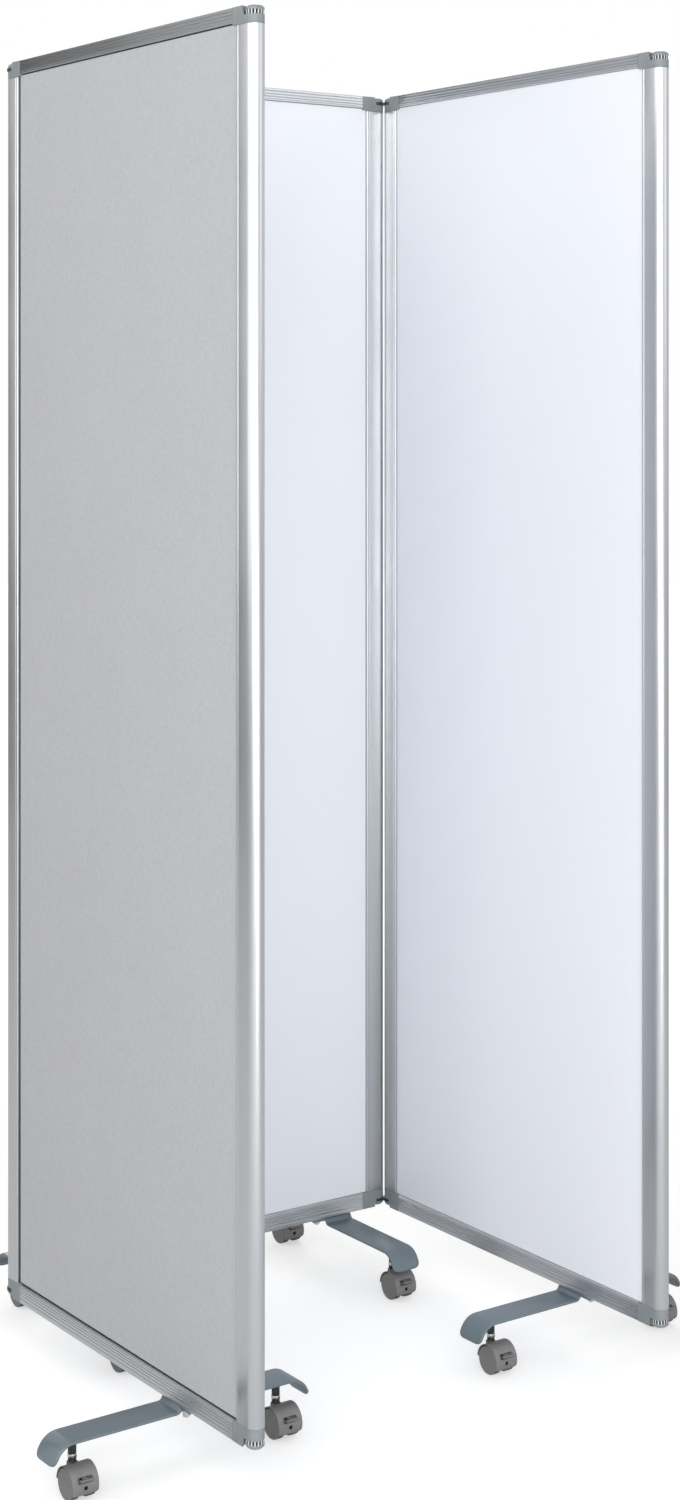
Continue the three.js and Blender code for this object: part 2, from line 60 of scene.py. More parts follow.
MM = 0.001
TINY = 1e-9
SECTIONS = ("left_wing", "middle", "right_wing")
TURNS = {"left_wing": 90, "middle": 0, "right_wing": -90}
SIDES = {"left": -1, "right": 1}


# Places and sizes read from the frame, in metres

def span(node):
    """Size of a frame node along X, Y and Z."""
    low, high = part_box(node)
    return high - low


def joint_at(name):
    """Place of a frame joint, as a vector."""
    return Vector(next(joint["pos_m"] for joint in frame["joints"] if joint["name"] == name))


def moved(x, y, z):
    """A shift along each axis."""
    return Matrix.Translation((x, y, z))


def rotated(angle, axis="Z"):
    """A turn in degrees."""
    return Matrix.Rotation(radians(angle), 4, axis)


def section_place(section):
    """Where a section stands: its middle on the floor, turned as its board is."""
    low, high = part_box(f"{section}_board")
    centre = (low + high) / 2
    return moved(centre.x, centre.y, 0) @ rotated(TURNS[section])


def boss_place(section, side):
    """Boss axis at one side of a section, with +X away from the board."""
    return section_place(section) @ moved(SIDES[side] * AXIS_X, 0, 0) @ rotated(0 if side == "right" else 180)


DEPTH = span("middle_top_rail").y
NOSE = DEPTH / 2
FRAME_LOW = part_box("middle_bottom_rail")[0].z
FRAME_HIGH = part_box("middle_top_rail")[1].z
TOP_RAIL = span("middle_top_rail").z
BOTTOM_RAIL = span("middle_bottom_rail").z
RAIL_HALF = span("middle_top_rail").x / 2
AXIS_X = joint_at("right_links_turn").x
STILE_WIDTH = span("middle_right_stile").x
STILE_LOW, STILE_HIGH = (corner.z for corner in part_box("middle_right_stile"))
LIP_X = NOSE - STILE_WIDTH
GAP = 0.3 * MM
CHANNEL = 7 * MM
CHANNEL_HALF = 6.8 * MM
CAP_INBOARD = RAIL_HALF + GAP - AXIS_X
LINK_SPAN = (joint_at("right_wing_turn") - joint_at("right_links_turn")).length
LINK_HEIGHT = span("left_link_bottom").z
LINK_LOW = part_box("left_link_bottom")[0].z - FRAME_LOW
BAND_START = LINK_LOW - GAP
BAND_END = BAND_START + LINK_HEIGHT + 2 * GAP
BOARD_LOW, BOARD_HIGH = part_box("middle_board")
FOOT_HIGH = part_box("middle_left_foot")[1].z
WHEEL_RADIUS = span("middle_left_front_wheels").z / 2
WHEEL_HALF = span("middle_left_front_wheels").x / 2
HOOD_HALF = span("middle_left_front_hood").x / 2
AXLE_BACK = joint_at("middle_left_front_swivel").y - joint_at("middle_left_front_roll").y
LEVER_PIVOT = joint_at("middle_left_front_brake_press") - joint_at("middle_left_front_roll")
STEM_REACH = (joint_at("middle_left_back_swivel").y - joint_at("middle_left_front_swivel").y) / 2
FOOT_REACH = span("middle_left_foot").y / 2

# Outer edges of a section, each with +Z towards the board
ENDS = {"bottom": moved(0, 0, FRAME_LOW), "top": moved(0, 0, FRAME_HIGH) @ rotated(180, "X")}


# Outlines: lists of 2-D points, anticlockwise, in metres

def arc(cx, cy, radius, start, end, steps):
    """Points along an arc between two angles in degrees."""
    turns = [radians(start + (end - start) * k / steps) for k in range(steps + 1)]
    return [(cx + radius * cos(a), cy + radius * sin(a)) for a in turns]


def soften(points, radius, closed=True, steps=3):
    """Round an outline's corners; a corner that hardly turns stays as it is."""
    result = []
    count = len(points)
    for k, point in enumerate(points):
        here = Vector(point)
        if not closed and k in (0, count - 1):
            result.append(here)
            continue
        before = Vector(points[k - 1]) - here
        after = Vector(points[(k + 1) % count]) - here
        if min(before.length, after.length) < TINY or before.angle(after) > radians(160):
            result.append(here)
            continue
        reach = min(radius, 0.45 * before.length, 0.45 * after.length)
        start = here + before.normalized() * reach
        end = here + after.normalized() * reach
        for n in range(steps + 1):
            t = n / steps
            result.append(start.lerp(here, t).lerp(here.lerp(end, t), t))
    return result


def anticlockwise(points):
    area = sum(a[0] * b[1] - b[0] * a[1] for a, b in zip(points, points[1:] + points[:1]))
    return list(points) if area > 0 else list(points)[::-1]


def shrink(points, distance):
    """Move an outline inwards, each corner along the middle of its two edges."""
    points = [Vector(p) for p in points]
    result = []
    for k, here in enumerate(points):
        e1 = (here - points[k - 1]).normalized()
        e2 = (points[(k + 1) % len(points)] - here).normalized()
        n1, n2 = Vector((-e1.y, e1.x)), Vector((-e2.y, e2.x))
        result.append(here + (n1 + n2) * distance / max(0.4, 1 + n1.dot(n2)))
    return result


# Ways to lay a solid that is drawn with its outline in X and Y and its height along Z:
# the outline in Y and Z with the height along X, or in X and Z with the height along +Y or -Y
ALONG_X = Matrix(((0, 0, 1, 0), (1, 0, 0, 0), (0, 1, 0, 0), (0, 0, 0, 1)))
UPRIGHT_BACK = Matrix(((1, 0, 0, 0), (0, 0, 1, 0), (0, 1, 0, 0), (0, 0, 0, 1)))
UPRIGHT_FRONT = Matrix(((1, 0, 0, 0), (0, 0, -1, 0), (0, 1, 0, 0), (0, 0, 0, 1)))


# Solids, added to one mesh being built

def add_loft(bm, rings, place=None, wrap=False):
    """Join rings of equal length with quads; a ring of one point closes to a tip."""
    place = place or Matrix()
    rows = [[bm.verts.new(place @ Vector(p)) for p in ring] for ring in rings]
    faces = []
    pairs = list(zip(rows, rows[1:])) + ([(rows[-1], rows[0])] if wrap else [])
    for a, b in pairs:
        if len(a) == 1 or len(b) == 1:
            tip, ring = (a[0], b) if len(a) == 1 else (b[0], a)
            faces += [bm.faces.new((tip, ring[k - 1], ring[k])) for k in range(len(ring))]
        else:
            faces += [bm.faces.new((a[k - 1], a[k], b[k], b[k - 1])) for k in range(len(a))]
    if not wrap:
        faces += [bm.faces.new(row) for row in (rows[0], rows[-1]) if len(row) > 2]
    return faces


def add_prism(bm, outline, low, high, place=None, round_low=0, round_high=0, steps=3):
    """Raise an outline from low to high, with its end edges rounded."""
    outline = anticlockwise(outline)
    levels = []
    for k in range(steps + 1):
        turn = pi / 2 * k / steps
        if round_low or k == steps:
            levels.append((round_low * (1 - sin(turn)), low + round_low * (1 - cos(turn))))
    for k in range(steps, -1, -1):
        turn = pi / 2 * k / steps
        if round_high or k == steps:
            levels.append((round_high * (1 - sin(turn)), high - round_high * (1 - cos(turn))))
    rings = []
    for inset, z in levels:
        rings.append([(p[0], p[1], z) for p in (shrink(outline, inset) if inset else outline)])
    return add_loft(bm, rings, place)


def add_turned(bm, profile, segments, place=None, wrap=False, soft=0):
    """Turn a profile of (radius, height) about Z, its corners softened; a wrapped one makes a ring."""
    if soft:
        profile = soften(profile, soft, closed=wrap)
    turns = [2 * pi * k / segments for k in range(segments)]
    rings = []
    for radius, height in profile:
        if radius < TINY:
            rings.append([(0, 0, height)])
        else:
            rings.append([(radius * cos(a), radius * sin(a), height) for a in turns])
    return add_loft(bm, rings, place, wrap)


def finish_mesh(bm, name, crease=32, materials=()):
    """Turn the built solids into a mesh with faces out, sharp where they turn past the crease angle."""
    bmesh.ops.recalc_face_normals(bm, faces=bm.faces)
    mesh = bpy.data.meshes.new(name)
    bm.to_mesh(mesh)
    bm.free()
    mesh.polygons.foreach_set("use_smooth", [True] * len(mesh.polygons))
    mesh.set_sharp_from_angle(angle=radians(crease))
    for material in materials:
        mesh.materials.append(material)
    return mesh


def put(name, mesh, body, place, material, replaces=()):
    """Place a mesh as a piece that rides on a body and stands for its frame nodes."""
    piece = bpy.data.objects.new(name, mesh)
    bpy.context.scene.collection.objects.link(piece)
    if material and not mesh.materials:
        mesh.materials.append(material)
    piece.matrix_world = place
    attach(piece, body)
    if replaces:
        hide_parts(*replaces)
    return piece


# Node materials

# Most of a noise texture's values lie between these
NOISE_SPAN = (0.3, 0.7)


def add_node(tree, kind, inputs=None, **settings):
    """A shader node with its settings, and its inputs set or linked."""
    node = tree.nodes.new(kind)
    for key, value in settings.items():
        setattr(node, key, value)
    for key, value in (inputs or {}).items():
        if isinstance(value, bpy.types.NodeSocket):
            tree.links.new(value, node.inputs[key])
        else:
            node.inputs[key].default_value = value
    return node


class Finish:
    """A material with one Principled shader, built up a layer at a time."""

    def __init__(self, name, colour, roughness, metallic=0.0):
        self.material = bpy.data.materials.new(name)
        self.material.use_nodes = True
        self.tree = self.material.node_tree
        self.shader = self.tree.nodes["Principled BSDF"]
        self.set(Base_Color=(*colour, 1), Roughness=roughness, Metallic=metallic)
        self.coordinates = self.node("ShaderNodeTexCoord").outputs["Object"]
        self.colour = tuple(colour)
        self.height = None

    def node(self, kind, inputs=None, **settings):
        return add_node(self.tree, kind, inputs, **settings)

    def set(self, **values):
        for key, value in values.items():
            self.shader.inputs[key.replace("_", " ")].default_value = value
        return self

    def noise(self, scale, detail=2.0, stretch=None, roughness=0.5):
        vector = self.coordinates
        if stretch:
            vector = self.node("ShaderNodeMapping", {"Vector": vector, "Scale": stretch}).outputs["Vector"]
        inputs = {"Vector": vector, "Scale": scale, "Detail": detail, "Roughness": roughness}
        return self.node("ShaderNodeTexNoise", inputs).outputs["Fac"]

    def threads(self, axis, pitch, distortion=0.4):
        inputs = {"Vector": self.coordinates, "Scale": 0.314 / pitch, "Distortion": distortion,
                  "Detail": 1.0, "Detail Scale": 2.0}
        wave = self.node("ShaderNodeTexWave", inputs, bands_direction=axis, wave_profile="SIN")
        return wave.outputs["Fac"]

    def math(self, operation, *values):
        return self.node("ShaderNodeMath", dict(enumerate(values)), operation=operation).outputs[0]

    def spread(self, value, start, end, low, high):
        """Carry a value's stretch from start to end over to low to high."""
        inputs = {"Value": value, "From Min": start, "From Max": end, "To Min": low, "To Max": high}
        return self.node("ShaderNodeMapRange", inputs).outputs["Result"]

    def shade(self, factor, dark, light):
        """Vary the colour between two strengths of itself."""
        ramp = self.node("ShaderNodeValToRGB", {"Fac": factor})
        low, high = ramp.color_ramp.elements
        low.position, high.position = NOISE_SPAN
        low.color = (*[min(1, c * dark) for c in self.colour], 1)
        high.color = (*[min(1, c * light) for c in self.colour], 1)
        self.tree.links.new(ramp.outputs["Color"], self.shader.inputs["Base Color"])
        return self

    def polish(self, factor, low, high):
        """Vary the roughness between two values."""
        roughness = self.spread(factor, *NOISE_SPAN, low, high)
        self.tree.links.new(roughness, self.shader.inputs["Roughness"])
        return self

    def relief(self, factor, distance, strength=1.0):
        """Raise the surface by a small height."""
        inputs = {"Height": factor, "Distance": distance, "Strength": strength}
        if self.height:
            inputs["Normal"] = self.height
        bump = self.node("ShaderNodeBump", inputs)
        self.height = bump.outputs["Normal"]
        self.tree.links.new(self.height, self.shader.inputs["Normal"])
        return self


FINISHES = {}


def finish(maker):
    """One material for each finish, made the first time it is wanted."""
    if maker not in FINISHES:
        FINISHES[maker] = maker(bpy.context.scene.screen_finishes).material
    return FINISHES[maker]


def satin_aluminium(wanted):
    metal = Finish("satin_aluminium", wanted.aluminium, wanted.aluminium_roughness, 1.0)
    lines = metal.noise(1.0, 3.0, stretch=(1400, 1400, 6), roughness=0.6)
    haze = metal.noise(5.0, 3.0)
    metal.shade(metal.math("MULTIPLY_ADD", lines, 0.55, 0.5), 0.93, 1.05)
    metal.polish(haze, wanted.aluminium_roughness - 0.03, wanted.aluminium_roughness + 0.05)
    across = metal.node("ShaderNodeTangent", direction_type="RADIAL", axis="Z").outputs["Tangent"]
    metal.tree.links.new(across, metal.shader.inputs["Tangent"])
    metal.set(Anisotropic=0.6)
    return metal.relief(lines, 0.00002, 0.35)


def writing_laminate(wanted):
    face = Finish("writing_laminate", wanted.laminate, 0.32)
    face.set(Specular_IOR_Level=0.3)
    wiped = face.noise(2.2, 5.0, stretch=(1, 1, 0.5))
    face.shade(wiped, 0.985, 1.01)
    face.polish(wiped, 0.28, 0.38)
    return face.relief(face.noise(60.0, 1.0), 0.00004, 0.12)


def woven_fabric(wanted):
    cloth = Finish("woven_fabric", wanted.fabric, 0.92)
    pitch = wanted.thread_pitch
    warp = cloth.threads("X", pitch, 0.9)
    weft = cloth.threads("Z", pitch, 0.9)
    weave = cloth.math("MULTIPLY", warp, weft)
    slub = cloth.noise(1.0, 3.0, stretch=(420, 420, 300))
    blotch = cloth.noise(7.0, 4.0)
    fleck = cloth.math("ADD", cloth.math("MULTIPLY", slub, 0.75), cloth.math("MULTIPLY", weave, 0.18))
    tone = cloth.math("ADD", fleck, cloth.math("MULTIPLY", blotch, 0.12))
    cloth.shade(tone, 0.90, 1.08)
    cloth.set(Sheen_Weight=0.15, Sheen_Roughness=0.6, Specular_IOR_Level=0.2)
    return cloth.relief(weave, 0.00025, 0.5).relief(slub, 0.0003, 0.3)


def moulded(name, colour, roughness, grain=900.0):
    """Plastic with a fine moulded grain."""
    plastic = Finish(name, colour, roughness)
    cloud = plastic.noise(60.0, 3.0)
    plastic.shade(cloud, 0.94, 1.06)
    plastic.polish(cloud, roughness - 0.05, roughness + 0.06)
    plastic.set(Specular_IOR_Level=0.45)
    return plastic.relief(plastic.noise(grain, 2.0), 0.00005, 0.3)


def cap_plastic(wanted):
    return moulded("cap_plastic", wanted.cap, 0.48)


# Painted highlight: the light colour on the rib crests stands in for light catching their edges
def rib_highlight(wanted):
    return moulded("rib_highlight", wanted.rib, 0.4)


def link_plastic(wanted):
    return moulded("link_plastic", wanted.link, 0.42)


def caster_plastic(wanted):
    return moulded("caster_plastic", wanted.caster, 0.42, 1200.0)


def wheel_plastic(wanted):
    return moulded("wheel_plastic", wanted.wheel, 0.5, 1200.0)


def tread_plastic(wanted):
    return moulded("tread_plastic", [c * 0.55 for c in wanted.wheel], 0.62, 700.0)


def black_sleeve(wanted):
    return moulded("black_sleeve", wanted.sleeve, 0.38, 1500.0)


# Painted shade: a near-black finish put on faces where only shade falls, such as the board's core in the gaps
# round a facing, a boss's core between its ribs and the inside of a caster's slot and lock hole
def painted_shade(wanted):
    return moulded("painted_shade", wanted.shade_paint, 0.7, 800.0)


def foot_paint(wanted):
    paint = Finish("foot_paint", wanted.foot, 0.34)
    paint.set(Coat_Weight=0.35, Coat_Roughness=0.18, Specular_IOR_Level=0.5)
    cloud = paint.noise(18.0, 4.0)
    paint.shade(cloud, 0.95, 1.05)
    paint.polish(cloud, 0.3, 0.4)
    return paint.relief(paint.noise(650.0, 2.0), 0.00006, 0.25)


def bright_zinc(wanted):
    zinc = Finish("bright_zinc", wanted.zinc, 0.26, 1.0)
    cloud = zinc.noise(300.0, 3.0)
    zinc.shade(cloud, 0.85, 1.05)
    zinc.polish(cloud, 0.2, 0.36)
    return zinc.relief(zinc.noise(1500.0, 2.0), 0.00003, 0.3)


# What a user would change

def length(name, description, default):
    return FloatProperty(
        name=name, description=description, default=default, unit="LENGTH", min=0, precision=5)


def colour(name, description, default):
    return FloatVectorProperty(
        name=name, description=description, default=default, subtype="COLOR", size=3, min=0, max=1)


class ScreenSizes(PropertyGroup):
    """Small shapes that the frame's plain solids leave out."""

    edge_round: length("Edge rounding", "Rounding of the moulded and cut edges", 0.6 * MM)
    lip_width: length("Lip width", "Width of the bead that holds the board along a stile", 4.6 * MM)
    rail_groove: length("Rail groove", "Width of the fine grooves along a rail", 1.2 * MM)
    board_gap: length("Board gap", "Width of the shadow line round a white facing", 0.3 * MM)
    fabric_gap: length(
        "Fabric gap", "Width of the shadow line beside a fabric pad, halved at its ends", 2.8 * MM)
    pad_crown: length(
        "Pad edge rounding", "How far in from its edge the fabric starts to turn back", 2.2 * MM)
    boss_teeth: IntProperty(
        name="Boss teeth", description="Ribs round the boss of a free corner", default=16, min=6, max=40)
    bolt_flats: length("Bolt size", "Width across the flats of the bolt under a foot", 8.6 * MM)
    sleeve_radius: length("Sleeve radius", "Radius of the black sleeves on a caster stem", 5.1 * MM)
    nut_radius: length("Nut radius", "Corner radius of the bright nut on a caster stem", 5.9 * MM)


class ScreenFinishes(PropertyGroup):
    """Colours of the finishes, as linear values."""

    aluminium: colour("Aluminium", "Satin anodised frame", (0.56, 0.575, 0.592))
    aluminium_roughness: FloatProperty(
        name="Aluminium roughness", description="How dull the frame is", default=0.3, min=0.05, max=1,
        subtype="FACTOR")
    laminate: colour("Laminate", "White writing side", (0.84, 0.86, 0.908))
    fabric: colour("Fabric", "Woven side", (0.47, 0.475, 0.498))
    thread_pitch: length("Thread pitch", "Distance between threads of the weave", 1.1 * MM)
    cap: colour("Caps", "Moulded corner caps", (0.235, 0.26, 0.27))
    # Painted highlight colour for the crests of the ribs round a boss
    rib: colour("Ribs", "Lighter ribs round the boss of a free corner", (0.55, 0.57, 0.58))
    link: colour("Links", "Moulded pivot links", (0.03, 0.032, 0.034))
    caster: colour("Hoods", "Moulded caster hoods and brake levers", (0.20, 0.195, 0.195))
    wheel: colour("Wheels", "Hard caster wheels", (0.185, 0.18, 0.178))
    sleeve: colour("Sleeves", "Black stem sleeves", (0.028, 0.029, 0.03))
    # Painted shade colour, used on the board's core in the shadow lines, between a boss's ribs and inside a
    # caster's slot and lock hole
    shade_paint: colour("Gasket", "Dark strip behind the board's edge", (0.035, 0.036, 0.038))
    foot: colour("Feet", "Blue-grey paint on the steel feet", (0.135, 0.175, 0.2))
    zinc: colour("Zinc", "Plated bolts and nuts", (0.72, 0.72, 0.70))


# Frames

LIP_ROLL = 1.0 * MM
LIP_DROP = 0.1 * MM
LINE_DEPTH = 0.6 * MM
RAIL_LIP = 3.2 * MM
GROOVE_DEPTH = 1.0 * MM

# Height of each rail, and how far its grooves are from its outer edge
RAILS = {
    "top": (TOP_RAIL, [4.2 * MM, 8.4 * MM, 12.2 * MM]),
    "bottom": (BOTTOM_RAIL, [6.6 * MM, 11.2 * MM, 15.0 * MM, 18.4 * MM]),
}


def stile_outline(lip_width):
    """Stile section about its boss axis, nose towards +X and board towards -X."""
    flat_end = LIP_X + lip_width
    bead, line = NOSE - LIP_DROP, NOSE - LINE_DEPTH
    upper = [
        (flat_end, NOSE), (flat_end - 0.15 * MM, line), (flat_end - 0.45 * MM, line),
        (flat_end - 0.8 * MM, bead), (LIP_X + LIP_ROLL, bead), (LIP_X, bead - LIP_ROLL),
        (LIP_X, CHANNEL_HALF), (LIP_X + CHANNEL, CHANNEL_HALF),
    ]
    lower = [(x, -y) for x, y in reversed(upper)]
    return soften([*arc(0, 0, NOSE, -90, 90, 36), *upper, *lower], 0.35 * MM)


def rail_outline(height, grooves, groove_width):
    """Rail section, outer edge at Y = 0 and its lip at Y = height; X is across the frame."""
    chamfer = 0.7 * MM
    bed, bead, lip = NOSE - GROOVE_DEPTH, NOSE - LIP_DROP, height - RAIL_LIP
    face = [(NOSE - chamfer, 0), (NOSE, chamfer)]
    for at in grooves:
        face += [(NOSE, at - groove_width / 2), (bed, at - groove_width / 4),
                 (bed, at + groove_width / 4), (NOSE, at + groove_width / 2)]
    face += [
        (NOSE, lip), (NOSE - 0.5 * MM, lip + 0.4 * MM), (bead, lip + 0.9 * MM),
        (bead, height - 0.9 * MM), (NOSE - LIP_ROLL, height),
        (CHANNEL_HALF, height), (CHANNEL_HALF, height - CHANNEL),
    ]
    mirrored = [(-x, y) for x, y in reversed(face)]
    return soften(face + mirrored, 0.3 * MM, steps=2)


class SCREEN_OT_frames(Operator):
    """Extrude the grooved rails and the round-nosed stiles of all three sections"""

    bl_idname = "screen.build_frames"
    bl_label = "Frames"

    def execute(self, context):
        sizes = context.scene.screen_sizes
        metal = finish(satin_aluminium)
        bm = bmesh.new()
        add_prism(bm, stile_outline(sizes.lip_width), STILE_LOW, STILE_HIGH)
        stile = finish_mesh(bm, "stile", crease=28)
        rails = {}
        for end, (height, grooves) in RAILS.items():
            bm = bmesh.new()
            add_prism(bm, rail_outline(height, grooves, sizes.rail_groove), -RAIL_HALF, RAIL_HALF)
            rails[end] = finish_mesh(bm, f"{end}_rail", crease=28)
        for section in SECTIONS:
            for end, edge in ENDS.items():
                node = f"{section}_{end}_rail"
                place = section_place(section) @ edge @ ALONG_X
                put(node + "_extrusion", rails[end], section, place, metal, [node])
            for side in SIDES:
                node = f"{section}_{side}_stile"
                put(node + "_extrusion", stile, section, boss_place(section, side), metal, [node])
        return {"FINISHED"}


# Corner caps

SHOULDER_RADIUS = 14.2 * MM
BAND_CLEAR = 13.0 * MM
SHELF = 2.2 * MM
RIB_SHARE = 0.46


def notched_outline(radius):
    """Plan of a cap's shoulder, hollowed round the boss."""
    lean = degrees(asin(NOSE / radius))
    hollow = arc(0, 0, radius, 180 + lean, 180 - lean, 20)
    return [(CAP_INBOARD, -NOSE), *hollow, (CAP_INBOARD, NOSE)]


def add_boss(bm, height, toothed, teeth):
    """Round boss from its chamfered disc down to its base; its core between the ribs is painted dark as
    shade.
    """
    disc, root, neck, base = NOSE - 0.2 * MM, NOSE - 3.2 * MM, NOSE - 0.5 * MM, NOSE - 0.05 * MM
    top, foot = 1.0 * MM, height - 0.3 * MM
    low, high, core = BAND_START, BAND_END, neck
    if toothed:
        low, high, core = low - 0.6 * MM, high + 0.7 * MM, root
    profile = [(0, top), (disc - 2.6 * MM, top), (disc, 3.3 * MM), (disc, low),
               (core, low), (core, high), (base, high), (base, foot), (0, foot)]
    # Core faces between the ribs take the painted shade finish.
    for face in add_turned(bm, profile, 56, soft=0.6 * MM):
        centre = face.calc_center_median()
        if toothed and low < centre.z < high and hypot(centre.x, centre.y) < root + 0.3 * MM:
            face.material_index = 1
    if toothed:
        add_ribs(bm, root - 1 * MM, neck, low - 0.3 * MM, high + 0.3 * MM, teeth)


def add_ribs(bm, root, crest, low, high, count):
    """Upright ribs round a boss; their crests take a painted highlight and the rest is painted dark as shade.
    """
    half = pi * crest / count * RIB_SHARE
    rib = soften([(root, -half), (crest, -half), (crest, half), (root, half)], 0.3 * MM)
    for k in range(count):
        # Crests get the painted highlight; the rib sides and roots get painted shade.
        for face in add_prism(bm, rib, low, high, rotated(360 * (k + 0.5) / count)):
            centre = face.calc_center_median()
            face.material_index = 2 if hypot(centre.x, centre.y) > crest - 0.3 * MM else 1


def cap_mesh(name, height, rail_height, toothed, sizes):
    """Corner cap about its boss axis, outer end at Z = 0 and board towards -X."""
    bm = bmesh.new()
    add_prism(bm, notched_outline(SHOULDER_RADIUS), 0, BAND_START, round_low=sizes.edge_round)
    add_prism(bm, notched_outline(BAND_CLEAR), BAND_START, BAND_END)
    shelf = min(height, rail_height + SHELF)
    nose = arc(0, 0, NOSE, -90, 90, 32)
    body = [(CAP_INBOARD, -NOSE), *nose, (CAP_INBOARD, NOSE)]
    add_prism(bm, body, BAND_END, shelf, round_high=0.25 * MM)
    if shelf < height:
        step_x = LIP_X - GAP
        step = [(step_x, -NOSE), *nose, (step_x, NOSE)]
        add_prism(bm, step, shelf - 0.5 * MM, height, round_high=0.25 * MM)
    add_boss(bm, height, toothed, sizes.boss_teeth)
    # Slot 1 carries painted shade and slot 2 a painted highlight.
    finishes = [finish(cap_plastic), finish(painted_shade), finish(rib_highlight)]
    return finish_mesh(bm, name, 30, finishes)


class SCREEN_OT_corner_caps(Operator):
    """Mould the corner caps, with ribbed bosses at the free ends and plain necks at the joints"""

    bl_idname = "screen.build_corner_caps"
    bl_label = "Corner caps"

    def execute(self, context):
        sizes = context.scene.screen_sizes
        heights = {
            "bottom": (STILE_LOW - GAP - FRAME_LOW, BOTTOM_RAIL),
            "top": (FRAME_HIGH - STILE_HIGH - GAP, TOP_RAIL),
        }
        meshes = {}
        for end, (height, rail_height) in heights.items():
            for toothed, kind in ((False, "cap"), (True, "cap_ribbed")):
                meshes[end, toothed] = cap_mesh(f"{end}_{kind}", height, rail_height, toothed, sizes)
        for section in SECTIONS:
            for side in SIDES:
                # A wing's own side is its free end, where the bosses are ribbed.
                free = section.startswith(side)
                for end, edge in ENDS.items():
                    node = f"{section}_{side}_{end}_cap"
                    place = boss_place(section, side) @ edge
                    put(node + "_moulding", meshes[end, free], section, place, None, [node])
        return {"FINISHED"}


class SCREEN_OT_links(Operator):
    """Join neighbouring bosses with figure-8 links, top and bottom"""

    bl_idname = "screen.build_links"
    bl_label = "Links"

    def execute(self, context):
        plastic = finish(link_plastic)
        inner, outer = NOSE - 0.25 * MM, NOSE + 1.4 * MM
        middle = (inner + outer) / 2
        ring = [(inner, 0), (outer, 0), (outer, LINK_HEIGHT), (inner, LINK_HEIGHT)]
        waist = [*arc(0, 0, middle, -31, 31, 8), *arc(LINK_SPAN, 0, middle, 149, 211, 8)]
        inset, edge = 0.15 * MM, 0.3 * MM
        bm = bmesh.new()
        for x in (0, LINK_SPAN):
            add_turned(bm, ring, 56, moved(x, 0, 0), wrap=True, soft=0.5 * MM)
        add_prism(bm, waist, inset, LINK_HEIGHT - inset, round_low=edge, round_high=edge)
        mesh = finish_mesh(bm, "link", 30)
        for side in SIDES:
            near, far = joint_at(f"{side}_links_turn"), joint_at(f"{side}_wing_turn")
            turn = Matrix.Rotation(atan2(far.y - near.y, far.x - near.x), 4, "Z")
            for end in ("bottom", "top"):
                node = f"{side}_link_{end}"
                place = moved(near.x, near.y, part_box(node)[0].z) @ turn
                put(node + "_moulding", mesh, f"{side}_links", place, plastic, [node])
        return {"FINISHED"}


# Boards

BOARD_FACE = (BOARD_HIGH.y - BOARD_LOW.y) / 2
FACING = 1.5 * MM
PAD_THICKNESS = 1.7 * MM
PAD_EDGE = 0.25
PAD_STEPS = 6


def facing_outline(side_gap, end_gap):
    """Front view of a facing between the lips, as (x, z)."""
    x = AXIS_X + LIP_X - side_gap
    low, high = FRAME_LOW + BOTTOM_RAIL + end_gap, FRAME_HIGH - TOP_RAIL - end_gap
    return [(-x, low), (x, low), (x, high), (-x, high)]


class SCREEN_OT_boards(Operator):
    """Set the core into the channels, painted dark as the shade in the gaps round its facings, with the white
    facing in front of it
    """

    bl_idname = "screen.build_boards"
    bl_label = "Boards"

    def execute(self, context):
        sizes = context.scene.screen_sizes
        half = (BOARD_HIGH.x - BOARD_LOW.x) / 2
        core_half = BOARD_FACE - FACING
        core = [(-half, BOARD_LOW.z), (half, BOARD_LOW.z), (half, BOARD_HIGH.z), (-half, BOARD_HIGH.z)]
        edge = 0.3 * MM
        bm = bmesh.new()
        add_prism(bm, core, -core_half, core_half, UPRIGHT_BACK, round_low=edge, round_high=edge)
        core_mesh = finish_mesh(bm, "board_core")
        bm = bmesh.new()
        outline = soften(facing_outline(sizes.board_gap, sizes.board_gap), 1.2 * MM)
        add_prism(bm, outline, core_half - 0.2 * MM, BOARD_FACE, UPRIGHT_FRONT, round_high=0.45 * MM)
        white_mesh = finish_mesh(bm, "white_facing")
        shade_paint, white = finish(painted_shade), finish(writing_laminate)
        for section in SECTIONS:
            place = section_place(section)
            # The core's near-black colour is painted shade, seen as the shadow lines round the facing and the
            # fabric pad.
            put(f"{section}_core", core_mesh, section, place, shade_paint, [f"{section}_board"])
            put(f"{section}_white_facing", white_mesh, section, place, white)
        return {"FINISHED"}


class SCREEN_OT_fabric_pads(Operator):
    """Cover the back of each board with a padded sheet of woven fabric that turns in at its edges"""

    bl_idname = "screen.build_fabric_pads"
    bl_label = "Fabric pads"

    def execute(self, context):
        sizes = context.scene.screen_sizes
        outline = anticlockwise(facing_outline(sizes.fabric_gap, sizes.fabric_gap / 2))
        back = BOARD_FACE - PAD_THICKNESS
        rings = [[(x, z, back) for x, z in outline]]
        for k in range(PAD_STEPS + 1):
            turn = pi / 2 * k / PAD_STEPS
            inset = sizes.pad_crown * (1 - cos(turn))
            height = back + PAD_THICKNESS * (PAD_EDGE + (1 - PAD_EDGE) * sin(turn))
            rings.append([(x, z, height) for x, z in shrink(outline, inset)])
        bm = bmesh.new()
        add_loft(bm, rings, UPRIGHT_BACK)
        mesh = finish_mesh(bm, "fabric_pad", crease=60)
        cloth = finish(woven_fabric)
        for section in SECTIONS:
            put(f"{section}_fabric_pad", mesh, section, section_place(section), cloth)
        return {"FINISHED"}


# Feet

